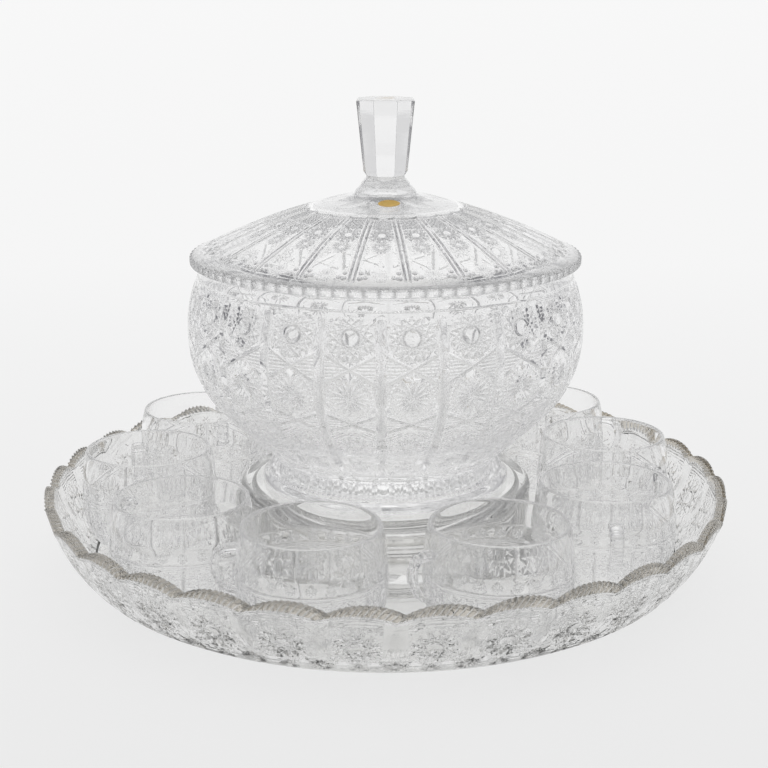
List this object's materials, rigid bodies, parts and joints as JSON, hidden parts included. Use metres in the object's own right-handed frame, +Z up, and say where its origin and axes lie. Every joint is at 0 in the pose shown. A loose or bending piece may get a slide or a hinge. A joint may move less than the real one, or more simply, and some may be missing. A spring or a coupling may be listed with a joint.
{
  "type": "punch bowl",
  "caption": "Covered punch bowl of clear cut glass on a scalloped tray, with a knobbed lid and handled cups standing around it.",
  "frame": {"origin": "on the table, under the centre of the tray", "axes": "+Z up; -Y is the front, the side with the foil label; +X to the right seen from the front"},
  "size_m": [0.4434, 0.4434, 0.2975],
  "materials": {
    "cut_crystal": "cut and polished clear lead glass",
    "polished_crystal": "smooth polished clear lead glass",
    "gold_foil": "satin gold foil"
  },
  "bodies": {
    "tray": {"tray": "cut_crystal"},
    "bowl": {"bowl_body": "cut_crystal", "bowl_foot": "cut_crystal"},
    "lid": {"lid_dome": "cut_crystal", "lid_knob": "polished_crystal", "lid_label": "gold_foil"},
    "cup_01": {"cup_body_01": "cut_crystal", "cup_handle_01": "polished_crystal"},
    "cup_02": {"cup_body_02": "cut_crystal", "cup_handle_02": "polished_crystal"},
    "cup_03": {"cup_body_03": "cut_crystal", "cup_handle_03": "polished_crystal"},
    "cup_04": {"cup_body_04": "cut_crystal", "cup_handle_04": "polished_crystal"},
    "cup_05": {"cup_body_05": "cut_crystal", "cup_handle_05": "polished_crystal"},
    "cup_06": {"cup_body_06": "cut_crystal", "cup_handle_06": "polished_crystal"},
    "cup_07": {"cup_body_07": "cut_crystal", "cup_handle_07": "polished_crystal"},
    "cup_08": {"cup_body_08": "cut_crystal", "cup_handle_08": "polished_crystal"},
    "cup_09": {"cup_body_09": "cut_crystal", "cup_handle_09": "polished_crystal"},
    "cup_10": {"cup_body_10": "cut_crystal", "cup_handle_10": "polished_crystal"}
  },
  "joints": [
    {"name": "bowl_lift", "type": "slide", "parent": "tray", "child": "bowl", "axis": [0, 0, 1], "range_m": [0, 0.09]},
    {"name": "lid_lift", "type": "slide", "parent": "bowl", "child": "lid", "axis": [0, 0, 1], "range_m": [0, 0.12]},
    {"name": "cup_lift_01", "type": "slide", "parent": "tray", "child": "cup_01", "axis": [-0.2552, 0.1742, 0.9511], "range_m": [0, 0.11]},
    {"name": "cup_lift_02", "type": "slide", "parent": "tray", "child": "cup_02", "axis": [-0.3088, -0.0123, 0.9511], "range_m": [0, 0.11]},
    {"name": "cup_lift_03", "type": "slide", "parent": "tray", "child": "cup_03", "axis": [-0.2362, -0.1993, 0.9511], "range_m": [0, 0.11]},
    {"name": "cup_lift_04", "type": "slide", "parent": "tray", "child": "cup_04", "axis": [-0.0831, -0.2976, 0.9511], "range_m": [0, 0.11]},
    {"name": "cup_lift_05", "type": "slide", "parent": "tray", "child": "cup_05", "axis": [0.1261, -0.2821, 0.9511], "range_m": [0, 0.11]},
    {"name": "cup_lift_06", "type": "slide", "parent": "tray", "child": "cup_06", "axis": [0.2708, -0.1489, 0.9511], "range_m": [0, 0.11]},
    {"name": "cup_lift_07", "type": "slide", "parent": "tray", "child": "cup_07", "axis": [0.3044, 0.0531, 0.9511], "range_m": [0, 0.11]},
    {"name": "cup_lift_08", "type": "slide", "parent": "tray", "child": "cup_08", "axis": [0.2237, 0.2132, 0.9511], "range_m": [0, 0.11]},
    {"name": "cup_lift_09", "type": "slide", "parent": "tray", "child": "cup_09", "axis": [0.0695, 0.3011, 0.9511], "range_m": [0, 0.11]},
    {"name": "cup_lift_10", "type": "slide", "parent": "tray", "child": "cup_10", "axis": [-0.111, 0.2884, 0.9511], "range_m": [0, 0.11]}
  ]
}
